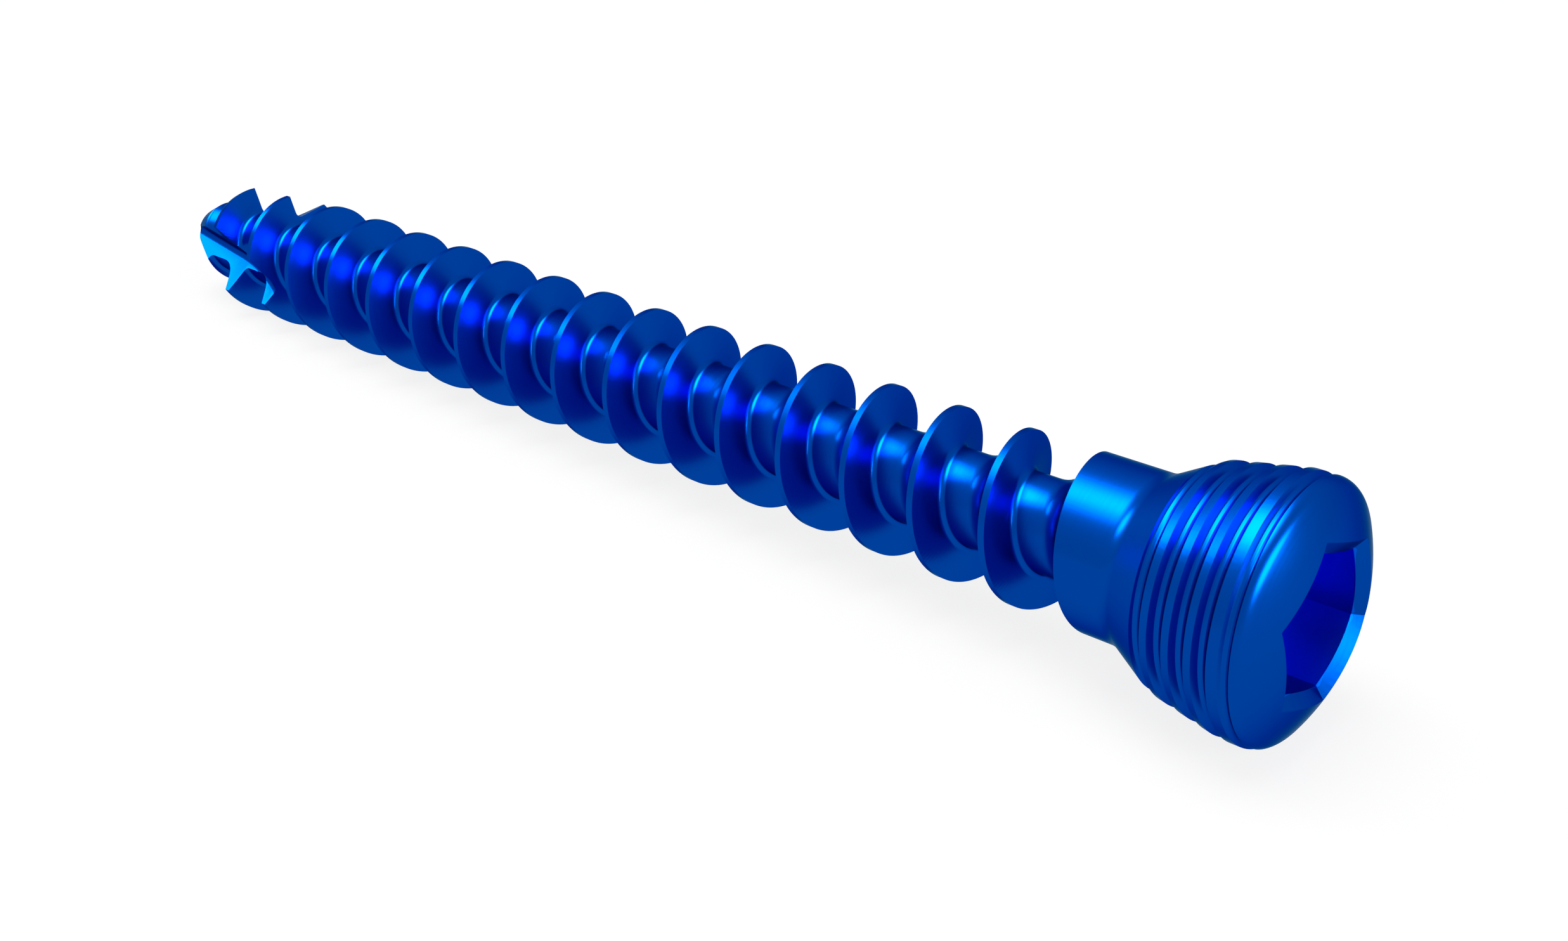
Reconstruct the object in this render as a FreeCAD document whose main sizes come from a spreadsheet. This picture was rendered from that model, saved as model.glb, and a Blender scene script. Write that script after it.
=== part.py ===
"""Cancellous locking screw, 4.0 mm thread, hex socket in a threaded round head.

The screw is turned and milled from one bar, so it is one solid. It is modelled upright with the
tip of its nose at the origin, and then laid down as it would come to rest on a table.
"""
import FreeCAD, Part
import math
import os
from types import SimpleNamespace

import Sketcher
from FreeCAD import Placement, Rotation, Vector

NODE = "cancellous_locking_screw"

# Driving dimensions, in millimetres, degrees and turns. Heights are measured from the nose tip,
# except those of the head, which hang from the top of its dome and so move with the length.
SIZES = {
    "overall_length": 40.780,
    "thread_diameter": 3.990,
    "core_diameter": 2.193,
    "nose_radius": 0.888,
    "nose_half_angle": 26.0,
    "nose_blend_radius": 1.200,
    "head_diameter": 5.987,
    "head_edge_radius": 0.400,
    "dome_radius": 5.388,
    "under_head_radius": 0.770,
    "under_head_angle": 29.5,
    "head_cap_height": 1.606,
    "head_cone_length": 1.659,
    "head_cone_angle": 10.83,
    "thread_pitch": 2.000,
    "thread_land": 0.172,
    "first_crest": 0.541,
    "tip_flank_angle": 27.0,
    "tip_flank_root_radius": 0.734,
    "head_flank_angle": 9.5,
    "head_flank_root_radius": 0.170,
    "thread_stop": 5.239,
    "run_out_turns": 0.44,
    "run_out_lap": 0.02,
    "run_out_inset": 0.008,
    "head_thread_pitch": 0.5757,
    "head_thread_drop": 2.308,
    "head_thread_run_off": 1.140,
    "head_groove_width": 0.385,
    "head_groove_steep_angle": 30.0,
    "head_groove_gentle_angle": 30.0,
    "head_groove_root_radius": 0.120,
    "socket_width": 3.019,
    "socket_depth": 2.400,
    "socket_chamfer": 0.300,
    "socket_turn": 31.39,
    "flute_count": 3,
    "flute_offset": 0.4326,
    "flute_turn": 60.34,
    "flute_nose_depth": 0.226,
    "flute_wall_angle": 6.8,
    "flute_bend_radius": 8.000,
    "flute_length": 6.985,
    "flute_run_out_angle": 23.5,
    "flute_corner_radius": 0.200,
    "flute_step": 0.480,
    "cutter_overshoot": 0.100,
    "head_groove_overshoot": 0.040,
    "resting_turn": 19.1,
}

# Heights and turns that follow from the driving dimensions.
FOLLOWING = {
    "head_cone_end": "=overall_length - head_cap_height",
    "head_cone_start": "=head_cone_end - head_cone_length",
    "head_thread_start": "=head_cone_end - head_thread_drop",
    "head_thread_half_turns": "=ceil(2 * (head_thread_drop + head_thread_run_off) / head_thread_pitch)",
    "thread_turns": "=(overall_length - thread_stop - first_crest) / thread_pitch",
}


def make_sheet(doc):
    """Put the dimensions in a sheet, one named cell each, and read them back."""
    sheet = doc.addObject("Spreadsheet::Sheet", "sizes")
    cells = SIZES | FOLLOWING
    for row, (name, value) in enumerate(cells.items(), start=1):
        sheet.set(f"A{row}", name)
        sheet.set(f"B{row}", str(value))
        sheet.setAlias(f"B{row}", name)
    doc.recompute()
    return SimpleNamespace(**{name: sheet.get(name) for name in cells})


def lean(angle):
    """Step across for a step of one along the axis, on a line at this angle to the axis."""
    return math.tan(math.radians(angle))


def on_arc(centre, radius, angle):
    return centre + Vector(math.cos(math.radians(angle)), math.sin(math.radians(angle)), 0) * radius


def rounded(before, corner, after, radius):
    """Start, middle and end of the arc that rounds a corner between two lines."""
    back = (before - corner).normalize()
    ahead = (after - corner).normalize()
    half = back.getAngle(ahead) / 2
    middle_way = (back + ahead).normalize()
    reach = radius / math.tan(half)
    middle = corner + middle_way * (radius / math.sin(half) - radius)
    return corner + back * reach, middle, corner + ahead * reach


class Outline:
    """A closed outline in a sketch on one of the body's upright origin planes."""

    def __init__(self, body, name):
        plane = next(f for f in body.Origin.OriginFeatures if f.Role == "XZ_Plane")
        self.sketch = body.newObject("Sketcher::SketchObject", name)
        self.sketch.AttachmentSupport = [(plane, "")]
        self.sketch.MapMode = "FlatFace"

    def turn(self, formula, angle, base=Vector()):
        """Turn the outline's plane about the screw's axis, and move it to a base point."""
        self.sketch.AttachmentOffset = Placement(base, Rotation(Vector(0, 1, 0), angle))
        self.sketch.setExpression("AttachmentOffset.Rotation.Angle", f"({formula}) * 1 deg")

    def line(self, start, end):
        return self.sketch.addGeometry(Part.LineSegment(start, end), False)

    def arc(self, start, middle, end):
        return self.sketch.addGeometry(Part.Arc(start, middle, end), False)

    def fix(self, *constraint):
        return self.sketch.addConstraint(Sketcher.Constraint(*constraint))

    def bind(self, name, formula, *constraint):
        """Add a dimension and bind it to the sheet."""
        index = self.fix(*constraint)
        self.sketch.renameConstraint(index, name)
        self.sketch.setExpression(f"Constraints.{name}", formula)

    def near_end(self, curve, other):
        """The end of a curve that touches the other curve."""
        others = [self.sketch.getPoint(other, end) for end in (1, 2)]
        return min((1, 2), key=lambda end: min(
            self.sketch.getPoint(curve, end).distanceToPoint(point) for point in others))

    def chain(self, kind, curves):
        """Join each curve to the next one, with a corner or without."""
        for first, second in zip(curves, curves[1:]):
            self.fix(kind, first, self.near_end(first, second), second, self.near_end(second, first))

    def meet(self, *curves):
        self.chain("Coincident", curves)

    def flow(self, *curves):
        self.chain("Tangent", curves)

    def slope(self, name, size_name, line, angle):
        """Set a line's angle to the axis, from the sheet."""
        self.bind(name, f"(90 - sizes.{size_name}) * 1 deg", "Angle", line, math.radians(90 - angle))

    def radius(self, name, size_name, arc, value):
        self.bind(name, f"sizes.{size_name}", "Radius", arc, value)

    def across(self, name, formula, curve, end, value):
        self.bind(name, formula, "DistanceX", -1, 1, curve, end, value)

    def along(self, name, formula, curve, end, value):
        self.bind(name, formula, "DistanceY", -1, 1, curve, end, value)

    def pass_through(self, curve, name, point, across_formula, along_formula):
        """Make a slanted line pass through a point that the sheet gives."""
        mark = self.sketch.addGeometry(Part.Point(point), True)
        self.fix("PointOnObject", mark, 1, curve)
        self.bind(f"{name}_across", across_formula, "DistanceX", -1, 1, mark, 1, point.x)
        self.bind(f"{name}_along", along_formula, "DistanceY", -1, 1, mark, 1, point.y)


def add_blank(body, size):
    """Turn the whole outline: nose, shank, cone under the head, head cone, rim and dome."""
    shank_r = size.thread_diameter / 2
    head_r = size.head_diameter / 2
    top = Vector(0, size.overall_length, 0)
    cone_rise = (size.head_cone_end - size.head_cone_start) * lean(size.head_cone_angle)
    cone_start = Vector(head_r - cone_rise, size.head_cone_start, 0)
    cone_end = Vector(head_r, size.head_cone_end, 0)

    nose_centre = Vector(0, size.nose_radius, 0)
    nose_end = on_arc(nose_centre, size.nose_radius, -size.nose_half_angle)
    nose_corner = Vector(shank_r, nose_end.y + (shank_r - nose_end.x) / lean(size.nose_half_angle), 0)
    neck_corner = Vector(shank_r, cone_start.y - (cone_start.x - shank_r) / lean(size.under_head_angle), 0)
    blend = rounded(nose_end, nose_corner, neck_corner, size.nose_blend_radius)
    fillet = rounded(nose_corner, neck_corner, cone_start, size.under_head_radius)

    dome_centre = Vector(0, top.y - size.dome_radius, 0)
    edge_r = head_r - size.head_edge_radius
    edge_rise = math.sqrt((size.dome_radius - size.head_edge_radius) ** 2 - edge_r ** 2)
    edge_centre = dome_centre + Vector(edge_r, edge_rise, 0)
    dome_angle = math.degrees(math.atan2(edge_rise, edge_r))
    edge = [on_arc(edge_centre, size.head_edge_radius, dome_angle * part) for part in (0, 0.5, 1)]
    dome = [edge[2], on_arc(dome_centre, size.dome_radius, (dome_angle + 90) / 2), top]

    outline = Outline(body, "blank_outline")
    outline.turn("sizes.socket_turn", size.socket_turn)
    axis = outline.line(top, Vector())
    nose = outline.arc(Vector(), on_arc(nose_centre, size.nose_radius, -60), nose_end)
    nose_cone = outline.line(nose_end, blend[0])
    nose_blend = outline.arc(*blend)
    shank = outline.line(blend[2], fillet[0])
    under_head = outline.arc(*fillet)
    neck_cone = outline.line(fillet[2], cone_start)
    head_cone = outline.line(cone_start, cone_end)
    rim = outline.line(cone_end, edge[0])
    head_edge = outline.arc(*edge)
    head_dome = outline.arc(*dome)

    outline.flow(nose, nose_cone, nose_blend, shank, under_head, neck_cone)
    outline.meet(neck_cone, head_cone, rim)
    outline.flow(rim, head_edge, head_dome)
    outline.meet(head_dome, axis, nose)
    outline.fix("Coincident", axis, 2, -1, 1)
    outline.fix("Vertical", axis)
    outline.fix("Vertical", shank)
    outline.fix("Vertical", rim)
    outline.fix("PointOnObject", nose, 3, -2)
    outline.fix("PointOnObject", head_dome, 3, -2)
    outline.along("length", "sizes.overall_length", axis, 1, size.overall_length)
    outline.radius("nose_radius", "nose_radius", nose, size.nose_radius)
    outline.slope("nose_slope", "nose_half_angle", nose_cone, size.nose_half_angle)
    outline.radius("nose_blend", "nose_blend_radius", nose_blend, size.nose_blend_radius)
    outline.across("shank_radius", "sizes.thread_diameter / 2", shank, 1, shank_r)
    outline.radius("under_head_radius", "under_head_radius", under_head, size.under_head_radius)
    outline.slope("under_head_slope", "under_head_angle", neck_cone, size.under_head_angle)
    outline.along("head_cone_start", "sizes.head_cone_start", head_cone, 1, size.head_cone_start)
    outline.along("head_cone_end", "sizes.head_cone_end", head_cone, 2, size.head_cone_end)
    outline.slope("head_cone_slope", "head_cone_angle", head_cone, size.head_cone_angle)
    outline.across("head_radius", "sizes.head_diameter / 2", rim, 1, head_r)
    outline.radius("head_edge_radius", "head_edge_radius", head_edge, size.head_edge_radius)
    outline.radius("dome_radius", "dome_radius", head_dome, size.dome_radius)

    blank = body.newObject("PartDesign::Revolution", "blank")
    blank.Profile = outline.sketch
    blank.ReferenceAxis = (outline.sketch, ["V_Axis"])
    blank.Angle = 360
    return blank


def add_flute(body, blank, size, index):
    """Mill one flute: a flat beside the axis, and a wall that climbs out through the thread."""
    shank_r = size.thread_diameter / 2
    outside = shank_r + size.cutter_overshoot
    turn = size.flute_turn - index * 360 / size.flute_count
    turn_formula = f"sizes.flute_turn - {index} * 360 / sizes.flute_count"
    shift = -index * size.flute_step
    shift_formula = f"-{index} * sizes.flute_step"
    normal = Vector(math.cos(math.radians(turn)), math.sin(math.radians(turn)), 0)

    nose_point = Vector(size.flute_nose_depth, shift, 0)
    end_point = Vector(math.sqrt(shank_r ** 2 - size.flute_offset ** 2), size.flute_length + shift, 0)
    wall_lean = lean(size.flute_wall_angle)
    run_lean = lean(size.flute_run_out_angle)
    corner_z = nose_point.x - end_point.x - wall_lean * nose_point.y + run_lean * end_point.y
    corner_z /= run_lean - wall_lean
    corner = Vector(nose_point.x + wall_lean * (corner_z - nose_point.y), corner_z, 0)
    foot_z = -size.cutter_overshoot - size.flute_count * size.flute_step
    foot = Vector(nose_point.x + wall_lean * (foot_z - nose_point.y), foot_z, 0)
    leave = Vector(outside, end_point.y + (outside - end_point.x) / run_lean, 0)
    bend_points = rounded(foot, corner, leave, size.flute_bend_radius)

    outline = Outline(body, f"flute_outline_{index + 1}")
    base = Vector(size.flute_offset * normal.x, 0, -size.flute_offset * normal.y)
    outline.turn(f"{turn_formula} + 90", turn + 90, base)
    for direction, part in (("x", "cos"), ("z", "-sin")):
        outline.sketch.setExpression(f"AttachmentOffset.Base.{direction}",
                                     f"sizes.flute_offset * ({part}(({turn_formula}) * 1 deg))")
    wall = outline.line(foot, bend_points[0])
    bend = outline.arc(*bend_points)
    run_out = outline.line(bend_points[2], leave)
    outer = outline.line(leave, Vector(outside, foot_z, 0))
    bottom = outline.line(Vector(outside, foot_z, 0), foot)
    outline.flow(wall, bend, run_out)
    outline.meet(run_out, outer, bottom, wall)
    outline.fix("Vertical", outer)
    outline.fix("Horizontal", bottom)
    outline.pass_through(wall, "nose", nose_point, "sizes.flute_nose_depth", shift_formula)
    outline.pass_through(run_out, "end", end_point,
                         "sqrt((sizes.thread_diameter / 2) ^ 2 - sizes.flute_offset ^ 2)",
                         f"sizes.flute_length - {index} * sizes.flute_step")
    outline.slope("wall_slope", "flute_wall_angle", wall, size.flute_wall_angle)
    outline.slope("run_out_slope", "flute_run_out_angle", run_out, size.flute_run_out_angle)
    outline.radius("bend_radius", "flute_bend_radius", bend, size.flute_bend_radius)
    outline.across("outside", "sizes.thread_diameter / 2 + sizes.cutter_overshoot", outer, 1, outside)
    outline.along("foot", "-sizes.cutter_overshoot - sizes.flute_count * sizes.flute_step", bottom, 1, foot_z)

    flute = body.newObject("PartDesign::Pocket", f"flute_{index + 1}")
    flute.Profile = outline.sketch
    flute.Reversed = True
    flute.Length = outside - size.flute_offset
    flute.setExpression("Length", "sizes.thread_diameter / 2 + sizes.cutter_overshoot - sizes.flute_offset")
    body.Document.recompute()

    skin = blank.Shape.Shells[0]
    inner_edges = []
    for number, edge in enumerate(flute.Shape.Edges, start=1):
        span = edge.LastParameter - edge.FirstParameter
        points = [edge.valueAt(edge.FirstParameter + span * part) for part in (0, 0.5, 1)]
        on_flat = all(abs(point.dot(normal) - size.flute_offset) < 1e-4 for point in points)
        if on_flat and skin.distToShape(Part.Vertex(points[1]))[0] > size.flute_corner_radius / 4:
            inner_edges.append(f"Edge{number}")
    corner_round = body.newObject("PartDesign::Fillet", f"flute_corner_{index + 1}")
    corner_round.Base = (flute, inner_edges)
    corner_round.setExpression("Radius", "sizes.flute_corner_radius")
    return corner_round


def groove_outline(body, size, name, turns, turns_formula, inset):
    """The section of the bone thread's groove, a number of turns along the thread."""
    shank_r = size.thread_diameter / 2
    inset_formula = f"{1 if inset else 0} * sizes.run_out_inset"
    core_r = size.core_diameter / 2 + inset
    outside = shank_r + size.cutter_overshoot
    low = size.first_crest - size.thread_pitch + size.thread_land / 2 + inset
    high = size.first_crest - size.thread_land / 2 - inset
    steep = lean(size.head_flank_angle)
    gentle = lean(size.tip_flank_angle)
    low_mouth = Vector(outside, low - size.cutter_overshoot * steep, 0)
    high_mouth = Vector(outside, high + size.cutter_overshoot * gentle, 0)
    low_corner = Vector(core_r, low + (shank_r - core_r) * steep, 0)
    high_corner = Vector(core_r, high - (shank_r - core_r) * gentle, 0)
    low_round = rounded(low_mouth, low_corner, high_corner, size.head_flank_root_radius)
    high_round = rounded(low_corner, high_corner, high_mouth, size.tip_flank_root_radius)

    outline = Outline(body, name)
    outline.turn(f"({turns_formula}) * 360", turns * 360, Vector(0, turns * size.thread_pitch, 0))
    outline.sketch.setExpression("AttachmentOffset.Base.y", f"({turns_formula}) * sizes.thread_pitch")
    steep_flank = outline.line(low_mouth, low_round[0])
    steep_root = outline.arc(*low_round)
    core = outline.line(low_round[2], high_round[0])
    gentle_root = outline.arc(*high_round)
    gentle_flank = outline.line(high_round[2], high_mouth)
    mouth = outline.line(high_mouth, low_mouth)
    outline.flow(steep_flank, steep_root, core, gentle_root, gentle_flank)
    outline.meet(gentle_flank, mouth, steep_flank)
    outline.fix("Vertical", core)
    outline.fix("Vertical", mouth)
    outline.pass_through(steep_flank, "low", Vector(shank_r, low, 0), "sizes.thread_diameter / 2",
                         f"sizes.first_crest - sizes.thread_pitch + sizes.thread_land / 2 + {inset_formula}")
    outline.pass_through(gentle_flank, "high", Vector(shank_r, high, 0), "sizes.thread_diameter / 2",
                         f"sizes.first_crest - sizes.thread_land / 2 - {inset_formula}")
    outline.bind("steep_slope", "(180 - sizes.head_flank_angle) * 1 deg", "Angle", steep_flank,
                 math.radians(180 - size.head_flank_angle))
    outline.bind("gentle_slope", "sizes.tip_flank_angle * 1 deg", "Angle", gentle_flank,
                 math.radians(size.tip_flank_angle))
    outline.radius("steep_root", "head_flank_root_radius", steep_root, size.head_flank_root_radius)
    outline.radius("gentle_root", "tip_flank_root_radius", gentle_root, size.tip_flank_root_radius)
    outline.across("core_radius", f"sizes.core_diameter / 2 + {inset_formula}", core, 1, core_r)
    outline.across("outside", "sizes.thread_diameter / 2 + sizes.cutter_overshoot", mouth, 1, outside)
    return outline


def add_bone_thread(body, size):
    """Cut the deep groove that leaves the thin right-hand bone thread."""
    outline = groove_outline(body, size, "thread_groove", 0, "0", 0)
    groove = body.newObject("PartDesign::SubtractiveHelix", "bone_thread")
    groove.Profile = outline.sketch
    groove.ReferenceAxis = (outline.sketch, ["V_Axis"])
    groove.Mode = "pitch-turns-angle"
    groove.setExpression("Pitch", "sizes.thread_pitch")
    groove.setExpression("Turns", "sizes.thread_turns")
    groove.HasBeenEdited = True
    return groove


def swept_cutter(section, size_pitch, first_turn, turns, cone_angle):
    """Sweep a section about the axis, upright all the way, on a helix that widens as a cone."""
    centre = section.BoundBox.Center
    radius = math.hypot(centre.x, centre.y)
    path = Part.Wire(Part.makeHelix(size_pitch, size_pitch * turns, radius, cone_angle).Edges)
    path.rotate(Vector(), Vector(0, 0, 1), first_turn * 360)
    path.translate(Vector(0, 0, centre.z))
    sweep = Part.BRepOffsetAPI.MakePipeShell(path)
    sweep.setBiNormalMode(Vector(0, 0, 1))
    sweep.add(section)
    sweep.build()
    sweep.makeSolid()
    return sweep.shape()


def run_out_cutter(body, size):
    """The cutter's path where it lifts out of the shank at the end of the bone thread."""
    outline = groove_outline(body, size, "run_out_groove", size.thread_turns - size.run_out_lap,
                             "sizes.thread_turns - sizes.run_out_lap", size.run_out_inset)
    body.Document.recompute()
    section = Part.Wire(Part.__sortEdges__(outline.sketch.Shape.Edges))
    climb = (size.thread_diameter - size.core_diameter) / 2 + size.cutter_overshoot
    rise = size.run_out_turns * size.thread_pitch
    return swept_cutter(section, size.thread_pitch, size.thread_turns - size.run_out_lap,
                        size.run_out_turns, math.degrees(math.atan2(climb, rise)))


def head_thread_cutter(body, size):
    """The cutter's path for the fine thread that locks the head in a plate, joined from half turns."""
    cone_lean = lean(size.head_cone_angle)
    steep = lean(size.head_groove_steep_angle)
    gentle = lean(size.head_groove_gentle_angle)
    high_z = size.head_thread_start
    low_z = high_z - size.head_groove_width
    high = Vector(size.head_diameter / 2 - (size.head_cone_end - high_z) * cone_lean, high_z, 0)
    low = Vector(size.head_diameter / 2 - (size.head_cone_end - low_z) * cone_lean, low_z, 0)
    depth = (high.y - low.y - steep * (high.x - low.x)) / (steep + gentle)
    root = Vector(low.x - depth, low.y + depth * gentle, 0)
    outside = high.x + size.head_groove_overshoot
    high_mouth = high + Vector(1, steep, 0) * size.head_groove_overshoot
    low_reach = (high_mouth.x - low.x - cone_lean * (high_mouth.y - low.y)) / (1 + cone_lean * gentle)
    low_mouth = low + Vector(1, -gentle, 0) * low_reach
    root_round = rounded(low_mouth, root, high_mouth, size.head_groove_root_radius)

    outline = Outline(body, "head_thread_groove")
    gentle_flank = outline.line(low_mouth, root_round[0])
    root_arc = outline.arc(*root_round)
    steep_flank = outline.line(root_round[2], high_mouth)
    mouth = outline.line(high_mouth, low_mouth)
    cone_radius = "sizes.head_diameter / 2 - tan(sizes.head_cone_angle * 1 deg) * "
    outline.flow(gentle_flank, root_arc, steep_flank)
    outline.meet(steep_flank, mouth, gentle_flank)
    outline.pass_through(steep_flank, "high", high,
                         cone_radius + "(sizes.head_cone_end - sizes.head_thread_start)",
                         "sizes.head_thread_start")
    outline.pass_through(gentle_flank, "low", low, cone_radius +
                         "(sizes.head_cone_end - sizes.head_thread_start + sizes.head_groove_width)",
                         "sizes.head_thread_start - sizes.head_groove_width")
    outline.bind("steep_slope", "sizes.head_groove_steep_angle * 1 deg", "Angle", steep_flank,
                 math.radians(size.head_groove_steep_angle))
    outline.bind("gentle_slope", "(180 - sizes.head_groove_gentle_angle) * 1 deg", "Angle", gentle_flank,
                 math.radians(180 - size.head_groove_gentle_angle))
    outline.radius("root", "head_groove_root_radius", root_arc, size.head_groove_root_radius)
    outline.across("outside", cone_radius + "(sizes.head_cone_end - sizes.head_thread_start)"
                   " + sizes.head_groove_overshoot", mouth, 1, outside)
    outline.bind("mouth_slope", "-(90 + sizes.head_cone_angle) * 1 deg", "Angle", mouth,
                 -math.radians(90 + size.head_cone_angle))
    body.Document.recompute()
    section = Part.Wire(Part.__sortEdges__(outline.sketch.Shape.Edges))
    sweeps = []
    for half_turn in range(int(size.head_thread_half_turns)):
        turn = half_turn / 2
        rise = turn * size.head_thread_pitch
        moved = section.translated(Vector(rise * cone_lean, 0, rise))
        moved.rotate(Vector(), Vector(0, 0, 1), turn * 360)
        sweeps.append(swept_cutter(moved, size.head_thread_pitch, turn, 0.5, size.head_cone_angle))
    return sweeps[0].multiFuse(sweeps[1:])


def add_socket(body, size):
    """Broach the hex socket in the dome and chamfer its mouth."""
    plane = next(f for f in body.Origin.OriginFeatures if f.Role == "XY_Plane")
    sketch = body.newObject("Sketcher::SketchObject", "socket_outline")
    sketch.AttachmentSupport = [(plane, "")]
    sketch.MapMode = "FlatFace"
    sketch.AttachmentOffset = Placement(Vector(0, 0, size.overall_length),
                                        Rotation(Vector(0, 0, 1), size.socket_turn))
    sketch.setExpression("AttachmentOffset.Base.z", "sizes.overall_length")
    corner_r = size.socket_width / 2 / math.cos(math.radians(30))
    corners = [on_arc(Vector(), corner_r, 60 * step) for step in range(6)]
    sides = [sketch.addGeometry(Part.LineSegment(corners[step - 1], corners[step]), False)
             for step in range(6)]
    ring = sketch.addGeometry(Part.Circle(Vector(), Vector(0, 0, 1), corner_r), True)
    for before, side in zip(sides[-1:] + sides[:-1], sides):
        sketch.addConstraint(Sketcher.Constraint("Coincident", before, 2, side, 1))
        sketch.addConstraint(Sketcher.Constraint("PointOnObject", side, 1, ring))
    for side in sides[1:]:
        sketch.addConstraint(Sketcher.Constraint("Equal", sides[0], side))
    sketch.addConstraint(Sketcher.Constraint("Coincident", ring, 3, -1, 1))
    sketch.addConstraint(Sketcher.Constraint("PointOnObject", sides[0], 2, -1))
    index = sketch.addConstraint(Sketcher.Constraint("Diameter", ring, 2 * corner_r))
    sketch.renameConstraint(index, "across_corners")
    sketch.setExpression("Constraints.across_corners", "sizes.socket_width / cos(30 deg)")

    socket = body.newObject("PartDesign::Pocket", "socket")
    socket.Profile = sketch
    socket.setExpression("Length", "sizes.socket_depth")
    body.Document.recompute()

    dome_centre = Vector(0, 0, size.overall_length - size.dome_radius)
    mouth_edges = []
    for number, edge in enumerate(socket.Shape.Edges, start=1):
        middle = edge.valueAt((edge.FirstParameter + edge.LastParameter) / 2)
        on_dome = abs(middle.distanceToPoint(dome_centre) - size.dome_radius) < 1e-4
        if on_dome and math.hypot(middle.x, middle.y) < corner_r:
            mouth_edges.append(f"Edge{number}")
    mouth = body.newObject("PartDesign::Chamfer", "socket_chamfer")
    mouth.Base = (socket, mouth_edges)
    mouth.setExpression("Size", "sizes.socket_chamfer")


def resting_place(shape, size):
    """Lay the screw down on the first crests of its thread and on the rim of its head."""
    shank_r = size.thread_diameter / 2
    head_r = size.head_diameter / 2
    crest_z = size.first_crest + size.thread_pitch * (1 + (180 + size.resting_turn) / 360)
    crest_z -= size.thread_land / 2
    tilt = math.degrees(math.atan((head_r - shank_r) / (size.head_cone_end - crest_z)))
    lay_down = Rotation(Vector(0, 1, 0), 90 - tilt)
    turn = lay_down * Rotation(Vector(0, 0, 1), 180 - size.resting_turn)
    lowest = lay_down.multVec(Vector(head_r, 0, size.head_cone_end))
    laid = shape.copy()
    laid.Placement = Placement(Vector(), turn)
    box = laid.optimalBoundingBox(False, False)
    return Placement(Vector(-(box.XMin + box.XMax) / 2, 0, -lowest.z), turn)


def check(doc, body, screw):
    """Stop if a feature failed, or if a cut took nothing away."""
    for item in doc.Objects:
        if "Invalid" in item.State or "Error" in item.State:
            raise RuntimeError(f"{item.Name} failed: {item.State}")
    cuts = [item for item in body.Group if item.isDerivedFrom("PartDesign::Feature")] + [screw]
    for before, after in zip(cuts, cuts[1:]):
        if "corner" not in after.Name and after.Shape.Volume > before.Shape.Volume - 1e-3:
            raise RuntimeError(f"{after.Name} takes nothing away")
    if screw.Shape.isNull() or not screw.Shape.isValid() or len(screw.Shape.Solids) != 1:
        raise RuntimeError("the screw is not one valid solid")


def main():
    doc = FreeCAD.newDocument("locking_screw")
    size = make_sheet(doc)
    body = doc.addObject("PartDesign::Body", "milled_blank")
    blank = add_blank(body, size)
    doc.recompute()
    add_socket(body, size)
    for index in range(int(size.flute_count)):
        add_flute(body, blank, size, index)
    add_bone_thread(body, size)
    doc.recompute()
    screw = doc.addObject("Part::Feature", NODE)
    screw.Label = NODE
    screw.Shape = body.Shape.cut([run_out_cutter(body, size), head_thread_cutter(body, size)])
    check(doc, body, screw)
    screw.Placement = resting_place(screw.Shape, size)
    os.makedirs("parts", exist_ok=True)
    screw.Shape.exportStep(f"parts/{screw.Label}.step")


main()
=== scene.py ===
"""Cancellous locking screw in blue anodised titanium, lying on a pale table."""
import math

import bmesh
import bpy
from bpy.props import FloatProperty, FloatVectorProperty, IntProperty, PointerProperty
from bpy.types import Operator, Panel, PropertyGroup
from mathutils import Matrix, Vector


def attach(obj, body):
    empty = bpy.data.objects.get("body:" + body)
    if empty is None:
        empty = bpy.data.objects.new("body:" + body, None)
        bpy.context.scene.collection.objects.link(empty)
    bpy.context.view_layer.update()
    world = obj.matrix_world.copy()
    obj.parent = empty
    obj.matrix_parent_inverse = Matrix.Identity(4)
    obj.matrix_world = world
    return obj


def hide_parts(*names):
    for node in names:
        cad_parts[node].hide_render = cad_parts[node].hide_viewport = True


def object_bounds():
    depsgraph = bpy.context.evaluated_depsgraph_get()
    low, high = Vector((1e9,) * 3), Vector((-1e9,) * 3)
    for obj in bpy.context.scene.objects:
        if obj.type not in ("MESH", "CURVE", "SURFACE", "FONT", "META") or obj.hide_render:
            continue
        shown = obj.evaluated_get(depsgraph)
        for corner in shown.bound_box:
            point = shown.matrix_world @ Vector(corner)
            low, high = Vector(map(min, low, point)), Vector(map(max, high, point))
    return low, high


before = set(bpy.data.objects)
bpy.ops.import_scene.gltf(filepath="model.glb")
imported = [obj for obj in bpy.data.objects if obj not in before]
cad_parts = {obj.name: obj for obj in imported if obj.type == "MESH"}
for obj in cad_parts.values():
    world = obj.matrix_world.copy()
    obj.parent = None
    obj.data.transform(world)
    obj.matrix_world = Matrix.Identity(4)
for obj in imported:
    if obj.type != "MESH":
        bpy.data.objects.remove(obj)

bl_info = {
    "name": "Cancellous locking screw",
    "version": (1, 0, 0),
    "blender": (4, 5, 0),
    "location": "View3D > Sidebar > Screw",
    "description": "Makes a bone screw with a locking head, its anodised finish and a studio stage",
    "category": "Add Mesh",
}

NODE = "cancellous_locking_screw"
MM = 0.001
CAD_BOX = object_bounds()
# The azimuth of the screw that faces up as it lies.
RESTING_TURN = 19.1
# Steps in a full turn of every round form, and how far each cutter starts outside the metal.
STEPS = 128
OVERSHOOT = 0.100 * MM
HEAD_OVERSHOOT = 0.040 * MM
# Edges that turn by more than this stay sharp.
CREASE = math.radians(17)
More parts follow.
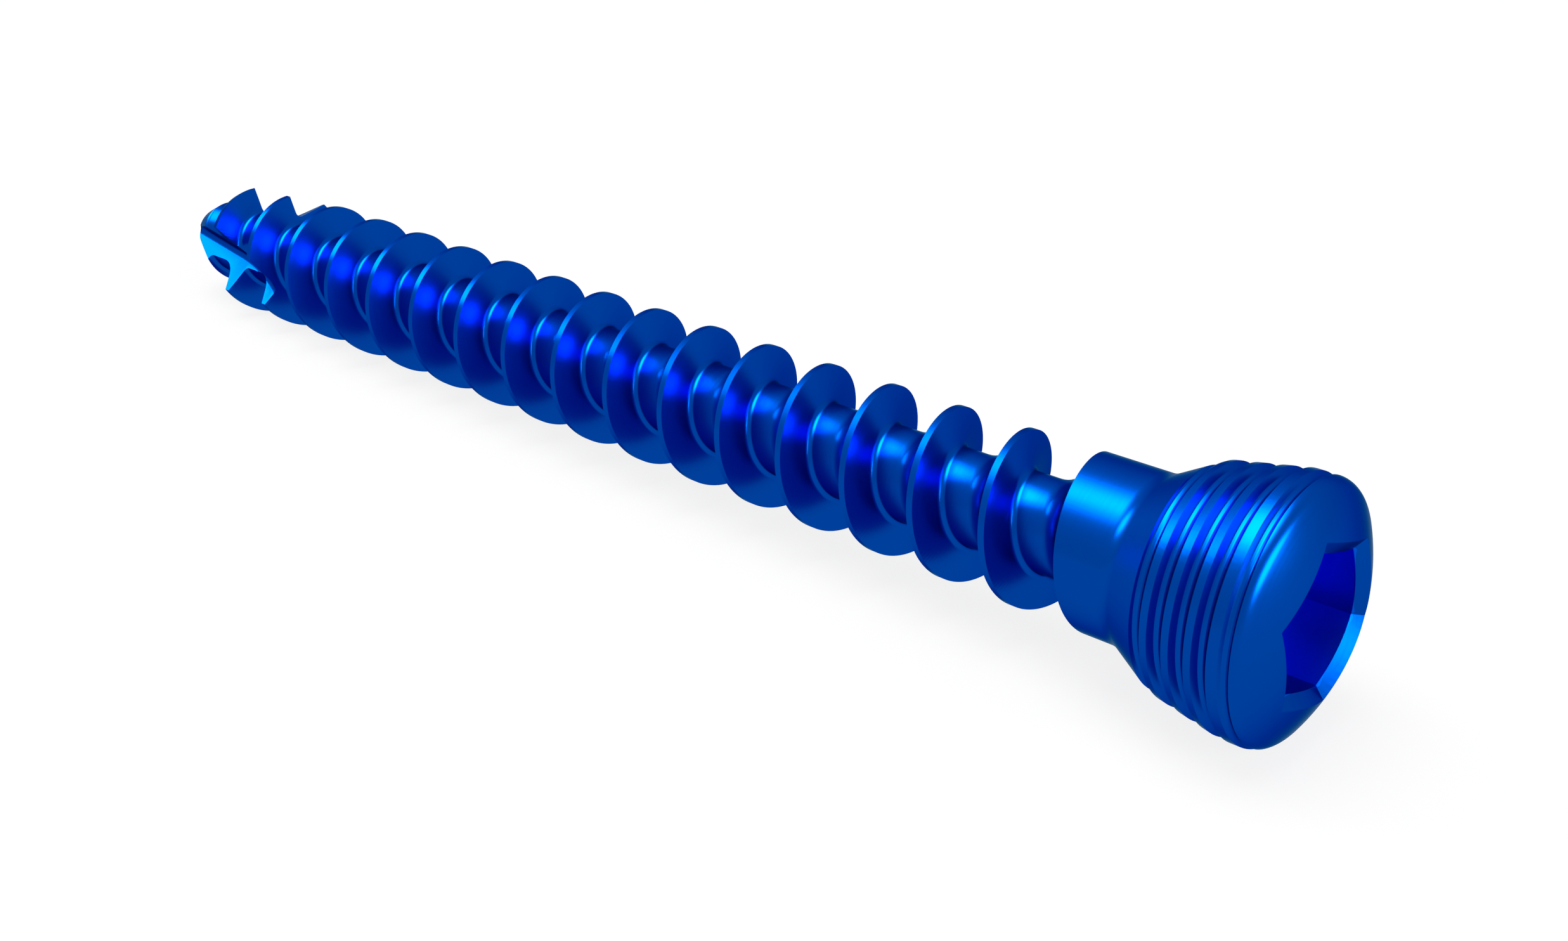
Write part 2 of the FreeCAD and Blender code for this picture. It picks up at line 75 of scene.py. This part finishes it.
# The painted light in the socket, a brighter blue that stands in for light on its walls, lies inside this
# height below the dome's top, above this much under the bottom, and within this share of the socket's width
# from the axis, so that its corners are in and its chamfer is out.
SOCKET_PAINTED_LIGHT_TOP = 0.540 * MM
SOCKET_PAINTED_LIGHT_UNDER = 0.040 * MM
SOCKET_PAINTED_LIGHT_REACH = 0.59
# How much the tool marks change the roughness, up and down.
MARK_GLOSS = 0.02
# Distance of every light from the screw.
LIGHT_AWAY = 1.0
# The thin steps along each side of the hex socket.
SOCKET_STEPS = 12


def length(name, description, millimetres):
    """A size that a user can change, given in millimetres."""
    return FloatProperty(name=name, description=description, default=millimetres * MM, unit="LENGTH",
                         precision=5)


def angle(name, description, degrees):
    """An angle that a user can change, given in degrees."""
    return FloatProperty(name=name, description=description, default=math.radians(degrees),
                         unit="ROTATION")


class ShankSizes(PropertyGroup):
    """Sizes of the nose, the shank and the bone thread. Heights are measured from the nose tip."""

    thread_diameter: length("Thread diameter", "Outside of the bone thread and of the neck", 3.990)
    core_diameter: length("Core diameter", "Bottom of the bone thread's groove", 2.193)
    nose_radius: length("Nose radius", "Round end of the nose", 0.888)
    nose_half_angle: angle("Nose half angle", "Cone of the nose, from the axis", 26.0)
    nose_blend: length("Nose blend", "Radius between the nose cone and the shank", 1.200)
    pitch: length("Pitch", "Step of the bone thread for each turn", 2.000)
    land: length("Land", "Width of the flat top of the bone thread", 0.172)
    first_crest: length("First crest", "Height of the first crest at azimuth zero", 0.541)
    tip_flank: angle("Tip flank", "Lean of the flank that faces the tip", 27.0)
    tip_root: length("Tip flank root", "Radius at the foot of the flank that faces the tip", 0.734)
    head_flank: angle("Head flank", "Lean of the flank that faces the head", 9.5)
    head_root: length("Head flank root", "Radius at the foot of the flank that faces the head", 0.170)
    turns: FloatProperty(name="Turns", description="Full-depth turns of the bone thread", default=17.5)
    run_out: FloatProperty(name="Run-out", description="Turns in which the cutter lifts out", default=0.42)


class HeadSizes(PropertyGroup):
    """Sizes of the locking head. Heights are measured from the nose tip."""

    total: length("Overall length", "From the nose tip to the top of the dome", 40.780)
    diameter: length("Head diameter", "Outside of the head at its rim", 5.987)
    edge: length("Rim radius", "Round edge between the rim and the dome", 0.400)
    dome: length("Dome radius", "Radius of the dome on the head", 5.388)
    under_radius: length("Under-head radius", "Radius between the neck and the cone under the head", 0.770)
    under_angle: angle("Under-head angle", "Cone under the head, from the axis", 29.5)
    cone_start: length("Cone start", "Height at which the threaded cone starts", 37.515)
    cone_end: length("Cone end", "Height at which the threaded cone meets the rim", 39.174)
    cone_angle: angle("Cone angle", "Threaded cone of the head, from the axis", 10.83)
    pitch: length("Head thread pitch", "Step of the head thread for each turn", 0.5757)
    start: length("Head thread start", "Height of its first groove's upper edge", 36.866)
    turns: FloatProperty(name="Head thread turns", description="Turns of the head thread", default=6.0)
    width: length("Groove width", "Mouth of the head thread's groove", 0.385)
    steep: angle("Steep flank", "Lean of the groove's flank that faces the tip", 30.0)
    gentle: angle("Gentle flank", "Lean of the groove's flank that faces the head", 30.0)
    root: length("Groove root", "Radius at the bottom of the head thread's groove", 0.120)
    socket: length("Socket width", "Hex socket across its flats", 3.019)
    socket_depth: length("Socket depth", "Bottom of the socket below the top of the dome", 2.400)
    chamfer: length("Socket chamfer", "Flat that breaks the socket's edge", 0.300)
    socket_turn: angle("Socket turn", "Azimuth of one corner of the socket", 31.39)


class FluteSizes(PropertyGroup):
    """Sizes of the three cutting flutes at the tip."""

    count: IntProperty(name="Flutes", description="Number of cutting flutes", default=3)
    offset: length("Offset", "Distance of each flute's flat from the axis", 0.4326)
    turn: angle("Turn", "Azimuth that the first flute's flat faces", 60.34)
    nose_depth: length("Wall at the tip", "Distance of the wall from the middle plane at the tip", 0.226)
    wall: angle("Wall angle", "Lean of the wall near the tip", 6.8)
    bend: length("Wall bend", "Radius between the wall and its run-out", 8.000)
    reach: length("Flute length", "Height at which the first flute leaves the shank", 6.985)
    run_out: angle("Run-out angle", "Lean of the wall where it climbs out", 23.5)
    corner: length("Inner corner", "Radius between the flat and the wall", 0.200)
    step: length("Step", "Each flute starts this much nearer the tip than the one before", 0.480)


def on_circle(centre, radius, degrees):
    return (centre[0] + radius * math.cos(math.radians(degrees)),
            centre[1] + radius * math.sin(math.radians(degrees)))


def arc_points(centre, radius, first, last, steps):
    """Points along an arc, with angles in degrees."""
    return [on_circle(centre, radius, first + (last - first) * step / steps) for step in range(steps + 1)]


def rounded(before, corner, after, radius, steps):
    """Points of the arc that rounds a corner of an outline."""
    corner = Vector(corner)
    back = (Vector(before) - corner).normalized()
    ahead = (Vector(after) - corner).normalized()
    half = back.angle(ahead) / 2
    centre = corner + (back + ahead).normalized() * radius / math.sin(half)
    start = corner + back * radius / math.tan(half) - centre
    turn = start.angle_signed(corner + ahead * radius / math.tan(half) - centre)
    return [tuple(centre + Matrix.Rotation(-turn * step / steps, 2) @ start) for step in range(steps + 1)]


def blank_outline(shank, head):
    """Radius and height of every point of the turned blank, from the nose tip to the dome's top."""
    shank_r = shank.thread_diameter / 2
    head_r = head.diameter / 2
    nose_angle = math.degrees(shank.nose_half_angle)
    nose = arc_points((0, shank.nose_radius), shank.nose_radius, -90, -nose_angle, 16)
    nose_end = nose[-1]
    nose_corner = (shank_r, nose_end[1] + (shank_r - nose_end[0]) / math.tan(shank.nose_half_angle))
    cone_rise = (head.cone_end - head.cone_start) * math.tan(head.cone_angle)
    cone_start = (head_r - cone_rise, head.cone_start)
    cone_end = (head_r, head.cone_end)
    neck_corner = (shank_r, head.cone_start - (cone_start[0] - shank_r) / math.tan(head.under_angle))
    dome_centre = (0, head.total - head.dome)
    edge_r = head_r - head.edge
    edge_rise = math.sqrt((head.dome - head.edge) ** 2 - edge_r ** 2)
    dome_angle = math.degrees(math.atan2(edge_rise, edge_r))
    edge = arc_points((edge_r, dome_centre[1] + edge_rise), head.edge, 0, dome_angle, 10)
    dome = arc_points(dome_centre, head.dome, dome_angle, 90, 24)
    return (nose + rounded(nose_end, nose_corner, neck_corner, shank.nose_blend, 8)
            + rounded(nose_corner, neck_corner, cone_start, head.under_radius, 8)
            + [cone_start, cone_end] + edge + dome[1:])


def facing_out(mesh):
    """The same closed mesh, turned inside out if its faces look inwards."""
    if mesh.calc_volume(signed=True) < 0:
        bmesh.ops.reverse_faces(mesh, faces=mesh.faces[:])
    return mesh


def turned(outline, steps):
    """A solid of revolution about Z. Its corners lie half a step off those of the cutters."""
    mesh = bmesh.new()
    first = mesh.verts.new((0, 0, outline[0][1]))
    last = mesh.verts.new((0, 0, outline[-1][1]))
    rings = []
    for radius, height in outline[1:-1]:
        spokes = [math.tau * (step + 0.5) / steps for step in range(steps)]
        rings.append([mesh.verts.new((radius * math.cos(a), radius * math.sin(a), height)) for a in spokes])
    for step in range(steps):
        mesh.faces.new((first, rings[0][step], rings[0][step - 1]))
        mesh.faces.new((last, rings[-1][step - 1], rings[-1][step]))
    for low, high in zip(rings, rings[1:]):
        for step in range(steps):
            mesh.faces.new((low[step - 1], low[step], high[step], high[step - 1]))
    return facing_out(mesh)


def swept(sections):
    """A closed solid through a row of sections that all have as many points."""
    mesh = bmesh.new()
    loops = [[mesh.verts.new(point) for point in section] for section in sections]
    for loop, after in zip(loops, loops[1:]):
        for index in range(len(loop)):
            corners = (loop[index - 1], loop[index], after[index], after[index - 1])
            mesh.faces.new(corners)
    mesh.faces.new(loops[0][::-1])
    mesh.faces.new(loops[-1])
    bmesh.ops.triangulate(mesh, faces=mesh.faces[:])
    return facing_out(mesh)


def along_helix(outline, pitch, turns, steps, widening):
    """Sections of a groove's outline along a helix. The widening gives the radius to add at a turn."""
    sections = []
    count = round(turns * steps)
    for index in range(count + 1):
        turn = turns * index / count
        azimuth = math.tau * turn
        rise = pitch * turn
        grow = widening(turn)
        sections.append([((radius + grow) * math.cos(azimuth), (radius + grow) * math.sin(azimuth),
                          height + rise) for radius, height in outline])
    return sections


def bone_groove(shank, overshoot, steps):
    """The groove that leaves the bone thread, with the climb at its end where the cutter lifts out."""
    shank_r = shank.thread_diameter / 2
    core_r = shank.core_diameter / 2
    outside = shank_r + overshoot
    low = shank.first_crest - shank.pitch + shank.land / 2
    high = shank.first_crest - shank.land / 2
    steep = math.tan(shank.head_flank)
    gentle = math.tan(shank.tip_flank)
    low_mouth = (outside, low - overshoot * steep)
    high_mouth = (outside, high + overshoot * gentle)
    low_corner = (core_r, low + (shank_r - core_r) * steep)
    high_corner = (core_r, high - (shank_r - core_r) * gentle)
    outline = ([low_mouth] + rounded(low_mouth, low_corner, high_corner, shank.head_root, 6)
               + rounded(low_corner, high_corner, high_mouth, shank.tip_root, 8) + [high_mouth])
    climb = (outside - core_r) / shank.run_out

    def lift(turn):
        return max(0.0, turn - shank.turns) * climb

    return swept(along_helix(outline, shank.pitch, shank.turns + shank.run_out, steps, lift))


def head_groove(head, overshoot, steps):
    """The groove of the fine thread on the head's cone."""
    lean = math.tan(head.cone_angle)
    steep = math.tan(head.steep)
    gentle = math.tan(head.gentle)
    high = (head.diameter / 2 - (head.cone_end - head.start) * lean, head.start)
    low = (high[0] - head.width * lean, head.start - head.width)
    depth = (head.width - steep * (high[0] - low[0])) / (steep + gentle)
    root = (low[0] - depth, low[1] + depth * gentle)
    low_mouth = (low[0] + overshoot, low[1] - overshoot * gentle)
    high_mouth = (high[0] + overshoot, high[1] + overshoot * steep)
    outline = [low_mouth] + rounded(low_mouth, root, high_mouth, head.root, 7) + [high_mouth]
    return swept(along_helix(outline, head.pitch, head.turns, steps, lambda turn: turn * head.pitch * lean))


def flute_cut(flute, shank, overshoot, index):
    """The space that one flute takes: beyond a flat beside the axis, and beyond a climbing wall."""
    shank_r = shank.thread_diameter / 2
    outside = shank_r + overshoot
    shift = -index * flute.step
    wall = math.tan(flute.wall)
    climb = math.tan(flute.run_out)
    nose_point = (flute.nose_depth, shift)
    end_point = (math.sqrt(shank_r ** 2 - flute.offset ** 2), flute.reach + shift)
    corner_z = nose_point[0] - end_point[0] - wall * nose_point[1] + climb * end_point[1]
    corner_z /= climb - wall
    corner = (nose_point[0] + wall * (corner_z - nose_point[1]), corner_z)
    low_z = -overshoot - flute.count * flute.step
    foot = (nose_point[0] + wall * (low_z - nose_point[1]), low_z)
    leave = (outside, end_point[1] + (outside - end_point[0]) / climb)
    beyond = outside + 2 * flute.corner
    route = [foot] + rounded(foot, corner, leave, flute.bend, 10) + [leave]

    azimuth = flute.turn - index * math.tau / flute.count
    normal = Vector((math.cos(azimuth), math.sin(azimuth), 0))
    across = Vector((-math.sin(azimuth), math.cos(azimuth), 0))
    sections = []
    for place, (wall_e, height) in enumerate(route):
        before = route[max(place - 1, 0)]
        after = route[min(place + 1, len(route) - 1)]
        slant = math.hypot(after[0] - before[0], after[1] - before[1]) / (after[1] - before[1])
        section = [(beyond, flute.offset)]
        for step in range(7):
            turn = math.radians(15 * step)
            section.append((wall_e + flute.corner * slant * (1 - math.sin(turn)),
                            flute.offset + flute.corner * (1 - math.cos(turn))))
        section += [(wall_e, outside), (beyond, outside)]
        sections.append([across * e + normal * n + Vector((0, 0, height)) for e, n in section])
    return swept(sections)


def socket_cut(head, overshoot, steps):
    """The hex socket's space, with an even chamfer that follows the dome."""
    dome_z = head.total - head.dome
    half = head.socket / 2
    mid_slope = math.asin(half / head.dome)
    wide = half + head.chamfer * math.cos(mid_slope)

    def dome_height(radius):
        return dome_z + math.sqrt(head.dome ** 2 - radius ** 2)

    bottom = []
    wall_top = []
    mouth = []
    above = []
    for side in range(6):
        for step in range(steps):
            from_middle = math.tan(math.radians(30)) * (2 * step / steps - 1)
            azimuth = head.socket_turn + math.radians(60 * side + 30)
            out = Vector((math.cos(azimuth), math.sin(azimuth), 0))
            along = Vector((-out.y, out.x, 0))
            inner = (out + along * from_middle) * half
            outer = (out + along * from_middle) * wide
            inner_z = dome_height(inner.length) - head.chamfer
            outer_z = dome_height(outer.length)
            bottom.append(inner + Vector((0, 0, head.total - head.socket_depth)))
            wall_top.append(inner + Vector((0, 0, inner_z)))
            mouth.append(outer + Vector((0, 0, outer_z)))
            reach = (head.total + overshoot - outer_z) / (outer_z - inner_z)
            above.append(outer + (outer - inner) * reach + Vector((0, 0, head.total + overshoot)))
    return swept([bottom, wall_top, mouth, above])


def object_from(mesh, name):
    """A scene object that holds this bmesh."""
    data = bpy.data.meshes.new(name)
    mesh.to_mesh(data)
    mesh.free()
    piece = bpy.data.objects.new(name, data)
    bpy.context.scene.collection.objects.link(piece)
    return piece


def cut_away(piece, tools):
    """Take the tools away from the piece, one after another, and delete them."""
    for tool in tools:
        cut = piece.modifiers.new("cut", "BOOLEAN")
        cut.operation = "DIFFERENCE"
        cut.solver = "EXACT"
        cut.object = tool
        bpy.context.view_layer.update()
        graph = bpy.context.evaluated_depsgraph_get()
        result = bpy.data.meshes.new_from_object(piece.evaluated_get(graph))
        piece.modifiers.clear()
        old = piece.data
        piece.data = result
        bpy.data.meshes.remove(old)
        bpy.data.objects.remove(tool)
    piece.data.name = piece.name


def lying(shank, head):
    """The placement that lays the upright screw on its first crests and on the rim of its head."""
    shank_r = shank.thread_diameter / 2
    head_r = head.diameter / 2
    turn = math.radians(RESTING_TURN)
    crest = shank.first_crest + shank.pitch * (1.5 + turn / math.tau) - shank.land / 2
    tilt = math.atan((head_r - shank_r) / (head.cone_end - crest))
    turned_over = Matrix.Rotation(math.pi / 2 - tilt, 4, "Y") @ Matrix.Rotation(math.pi - turn, 4, "Z")
    low = Matrix.Rotation(math.pi / 2 - tilt, 3, "Y") @ Vector((head_r, 0, head.cone_end))
    nose_x = CAD_BOX[0][0] + shank.nose_radius * (1 - math.cos(tilt))
    return Matrix.Translation((nose_x, 0, -low.z)) @ turned_over


def linear(hex_colour):
    """The linear colour of an sRGB hex value."""
    def channel(part):
        value = int(part, 16) / 255
        return value / 12.92 if value <= 0.04045 else ((value + 0.055) / 1.055) ** 2.4
    return tuple(channel(hex_colour[start:start + 2]) for start in (1, 3, 5))


def add_node(tree, kind, settings=None, **inputs):
    """Add a node with its settings, and link or set its inputs."""
    node = tree.nodes.new(kind)
    for name, value in (settings or {}).items():
        setattr(node, name, value)
    for name, value in inputs.items():
        socket = node.inputs[int(name[1:])] if name[1:].isdigit() else node.inputs[name.replace("_", " ")]
        if isinstance(value, bpy.types.NodeSocket):
            tree.links.new(value, socket)
        else:
            socket.default_value = value
    return node


def new_material(name):
    """An empty node material and its output."""
    material = bpy.data.materials.new(name)
    material.use_nodes = True
    material.node_tree.nodes.clear()
    return material, add_node(material.node_tree, "ShaderNodeOutputMaterial")


def anodised_titanium(look, head, nose, axis):
    """Titanium alloy, turned and milled, then anodised.

    The clear oxide film gives a deep blue that reflects like metal and never white. At a low angle it turns
    a little towards cyan.
    """
    material, output = new_material("blue_anodised_titanium_milled")
    tree = material.node_tree
    place = add_node(tree, "ShaderNodeTexCoord").outputs["Object"]
    # Height along the screw's axis and distance from it, for everything that goes around the screw.
    from_nose = add_node(tree, "ShaderNodeVectorMath", {"operation": "SUBTRACT"}, _0=place, _1=nose)
    height = add_node(tree, "ShaderNodeVectorMath", {"operation": "DOT_PRODUCT"}, _0=from_nose.outputs[0],
                      _1=axis).outputs["Value"]
    across = add_node(tree, "ShaderNodeVectorMath", {"operation": "CROSS_PRODUCT"}, _0=from_nose.outputs[0],
                      _1=axis)
    radius = add_node(tree, "ShaderNodeVectorMath", {"operation": "LENGTH"},
                      _0=across.outputs[0]).outputs["Value"]
    # The film is a little thinner in soft patches of about 5 mm.
    cloud = add_node(tree, "ShaderNodeTexNoise", Vector=place, Scale=look.film_scale, Detail=3.0)
    film = add_node(tree, "ShaderNodeMix", {"data_type": "RGBA"}, Factor=cloud.outputs["Fac"],
                    _6=(*look.blue_thin, 1), _7=(*look.blue, 1))
    # Painted light: the socket's walls get a brighter blue that stands in for the light falling on them.
    top = head.total - SOCKET_PAINTED_LIGHT_TOP
    bottom = head.total - head.socket_depth - SOCKET_PAINTED_LIGHT_UNDER
    below_dome = add_node(tree, "ShaderNodeMath", {"operation": "COMPARE"}, _0=height,
                          _1=(top + bottom) / 2, _2=(top - bottom) / 2)
    near_axis = add_node(tree, "ShaderNodeMath", {"operation": "LESS_THAN"}, _0=radius,
                         _1=SOCKET_PAINTED_LIGHT_REACH * head.socket)
    socket_light_mask = add_node(tree, "ShaderNodeMath", {"operation": "MULTIPLY"}, _0=below_dome.outputs[0],
                         _1=near_axis.outputs[0])
    colour = add_node(tree, "ShaderNodeMix", {"data_type": "RGBA"}, Factor=socket_light_mask.outputs[0],
                      _6=film.outputs[2], _7=(*look.socket_painted_light_blue, 1))
    # Tool marks run around the axis. They are drawn 0.08 mm apart, because real ones are too fine to show.
    rings = add_node(tree, "ShaderNodeCombineXYZ", X=height, Y=radius)
    marks = add_node(tree, "ShaderNodeTexNoise", Vector=rings.outputs[0], Scale=look.mark_scale, Detail=2.0)
    gloss = add_node(tree, "ShaderNodeMapRange", Value=marks.outputs["Fac"],
                     To_Min=look.roughness - MARK_GLOSS, To_Max=look.roughness + MARK_GLOSS)
    relief = add_node(tree, "ShaderNodeBump", Height=marks.outputs["Fac"], Strength=1.0,
                      Distance=look.mark_depth)
    shader = add_node(tree, "ShaderNodeBsdfPrincipled", Base_Color=colour.outputs[2], Metallic=1.0,
                      Roughness=gloss.outputs[0], Specular_Tint=(*look.edge, 1), Normal=relief.outputs[0])
    tree.links.new(shader.outputs["BSDF"], output.inputs["Surface"])
    return material


class FinishColours(PropertyGroup):
    """Colours and gloss of the anodised surface."""

    blue: FloatVectorProperty(name="Blue", description="Colour of the oxide film", subtype="COLOR",
                              default=linear("#0058CE"))
    blue_thin: FloatVectorProperty(name="Thin blue", description="Colour where the film is thinner",
                                   subtype="COLOR", default=linear("#0050C4"))
    # Painted light: a brighter blue that stands in for light falling on the socket's walls.
    socket_painted_light_blue: FloatVectorProperty(name="Socket blue", description="Colour of the film in the socket",
                                     subtype="COLOR", default=linear("#0064FA"))
    film_scale: FloatProperty(name="Film scale", description="Patches of the film per metre", default=180.0)
    edge: FloatVectorProperty(name="Edge", description="Tint of the film seen at a low angle",
                              subtype="COLOR", default=(0, 0.33, 0.48))
    roughness: FloatProperty(name="Roughness", description="Roughness of the milled metal", default=0.25)
    mark_scale: FloatProperty(name="Mark scale", description="Tool marks per metre", default=12000.0)
    mark_depth: length("Mark depth", "Depth of the tool marks", 0.0006)


class StageSizes(PropertyGroup):
    """Floor, lights and camera."""

    camera_place: FloatVectorProperty(name="Camera", description="Place of the camera", unit="LENGTH",
                                      default=(0.033430, -0.032310, 0.022313), precision=6)
    camera_turn: FloatVectorProperty(name="Camera turn", description="Turn of the camera", unit="ROTATION",
                                     default=[math.radians(a) for a in (64.0917, -1.2033, 41.5919)])
    lens: FloatProperty(name="Lens", description="Focal length for a 36 mm wide image", default=42.910)
    floor: length("Floor", "Side of the square floor", 2000.0)
    ambient: FloatProperty(name="Studio", description="Brightness of the studio's grey walls", default=0.50)
    table: FloatProperty(name="Table", description="Brightness of the table as the metal shows it",
                         default=0.58)
    shadow: FloatProperty(name="Shadow", description="Share of the table's white that the shadow darkens",
                          default=0.15)


class SCREW_OT_body(Operator):
    """Turn the blank, cut both threads, mill the flutes and broach the hex socket"""

    bl_idname = "screw.body"
    bl_label = "Make the screw"

    def execute(self, context):
        sizes = context.scene.screw
        shank, head, flute = sizes.shank, sizes.head, sizes.flute
        screw = object_from(turned(blank_outline(shank, head), STEPS), "locking_screw")
        tools = [bone_groove(shank, OVERSHOOT, STEPS), head_groove(head, HEAD_OVERSHOOT, STEPS)]
        tools += [flute_cut(flute, shank, OVERSHOOT, index) for index in range(flute.count)]
        tools.append(socket_cut(head, OVERSHOOT, SOCKET_STEPS))
        cut_away(screw, [object_from(tool, "cutter") for tool in tools])
        placement = lying(shank, head)
        screw.data.transform(placement)
        screw.data.shade_smooth()
        screw.data.set_sharp_from_angle(angle=CREASE)
        axis = placement.to_3x3() @ Vector((0, 0, 1))
        screw.data.materials.append(anodised_titanium(sizes.finish, head, placement.translation, axis))
        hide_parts(NODE)
        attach(screw, "root")
        return {"FINISHED"}


def add_light(name, azimuth, elevation, half_angles, radiance):
    """A soft round light that spans these half angles, in degrees, as the screw sees it."""
    data = bpy.data.lights.new(name, "AREA")
    data.shape = "ELLIPSE"
    data.size, data.size_y = [2 * LIGHT_AWAY * math.tan(math.radians(part)) for part in half_angles]
    data.energy = radiance * math.pi * data.size * data.size_y
    turn = math.radians(azimuth)
    rise = math.radians(elevation)
    light = bpy.data.objects.new(name, data)
    light.location = (LIGHT_AWAY * math.cos(rise) * math.cos(turn),
                      LIGHT_AWAY * math.cos(rise) * math.sin(turn), LIGHT_AWAY * math.sin(rise))
    light.rotation_euler = light.location.to_track_quat("Z", "Y").to_euler()
    bpy.context.scene.collection.objects.link(light)


class SCREW_OT_stage(Operator):
    """Add the pale floor, the soft lights and the camera"""

    bl_idname = "screw.stage"
    bl_label = "Make the stage"

    def execute(self, context):
        stage = context.scene.screw.stage
        scene = context.scene
        scene.view_settings.view_transform = "Standard"
        half = stage.floor / 2
        mesh = bmesh.new()
        mesh.faces.new([mesh.verts.new((x, y, 0)) for x, y in ((-half, -half), (half, -half),
                                                               (half, half), (-half, half))])
        floor = object_from(mesh, "floor")
        # Matt paper: the camera sees it white with a faint shadow, and the metal shows it pale grey.
        material, output = new_material("matt_white_paper")
        tree = material.node_tree
        paper = add_node(tree, "ShaderNodeBsdfDiffuse", Color=(*linear("#B4B4B4"), 1))
        white = add_node(tree, "ShaderNodeEmission", Color=(1, 1, 1, 1), Strength=1.0)
        shown = add_node(tree, "ShaderNodeEmission", Color=(1, 1, 1, 1), Strength=stage.table)
        path = add_node(tree, "ShaderNodeLightPath")
        bright = add_node(tree, "ShaderNodeMixShader", _0=1 - stage.shadow, _1=paper.outputs[0],
                          _2=white.outputs[0])
        seen = add_node(tree, "ShaderNodeMixShader", _0=path.outputs["Is Camera Ray"],
                        _1=paper.outputs[0], _2=bright.outputs[0])
        mirrored = add_node(tree, "ShaderNodeMixShader", _0=path.outputs["Is Glossy Ray"],
                            _1=seen.outputs[0], _2=shown.outputs[0])
        tree.links.new(mirrored.outputs[0], output.inputs["Surface"])
        floor.data.materials.append(material)

        # The camera sees a white studio, and everything else is lit by its grey walls.
        world = bpy.data.worlds.new("studio")
        world.use_nodes = True
        tree = world.node_tree
        path = add_node(tree, "ShaderNodeLightPath")
        wall = add_node(tree, "ShaderNodeMapRange", Value=path.outputs["Is Camera Ray"],
                        To_Min=stage.ambient, To_Max=1.0)
        tree.nodes["Background"].inputs["Color"].default_value = (1, 1, 1, 1)
        tree.links.new(wall.outputs[0], tree.nodes["Background"].inputs["Strength"])
        scene.world = world
        # A disc of light overhead with a soft edge, and one softbox before each end of the screw.
        add_light("overhead softbox", -150, 78, (20, 20), 8.0)
        add_light("overhead halo", -150, 78, (28, 28), 2.2)
        add_light("tip softbox", -168, 34, (14, 7), 7.0)
        add_light("head softbox", -2, 25, (22, 12), 7.0)

        camera = bpy.data.cameras.new("camera")
        camera.lens = stage.lens
        camera.sensor_width = 36
        camera.clip_start = 0.001
        eye = bpy.data.objects.new("camera", camera)
        eye.location = stage.camera_place
        eye.rotation_euler = stage.camera_turn
        scene.collection.objects.link(eye)
        scene.camera = eye
        return {"FINISHED"}


class ScrewSettings(PropertyGroup):
    """Everything that a user can change."""

    shank: PointerProperty(type=ShankSizes)
    head: PointerProperty(type=HeadSizes)
    flute: PointerProperty(type=FluteSizes)
    finish: PointerProperty(type=FinishColours)
    stage: PointerProperty(type=StageSizes)


class SCREW_PT_panel(Panel):
    """The operators in the sidebar"""

    bl_label = "Locking screw"
    bl_space_type = "VIEW_3D"
    bl_region_type = "UI"
    bl_category = "Screw"

    def draw(self, context):
        for operator in (SCREW_OT_body, SCREW_OT_stage):
            self.layout.operator(operator.bl_idname)


CLASSES = (ShankSizes, HeadSizes, FluteSizes, FinishColours, StageSizes, ScrewSettings,
           SCREW_OT_body, SCREW_OT_stage, SCREW_PT_panel)


def register():
    for cls in CLASSES:
        bpy.utils.register_class(cls)
    bpy.types.Scene.screw = PointerProperty(type=ScrewSettings)


def unregister():
    del bpy.types.Scene.screw
    for cls in reversed(CLASSES):
        bpy.utils.unregister_class(cls)


def main():
    register()
    bpy.ops.screw.body()
    bpy.ops.screw.stage()


if __name__ == "__main__":
    main()
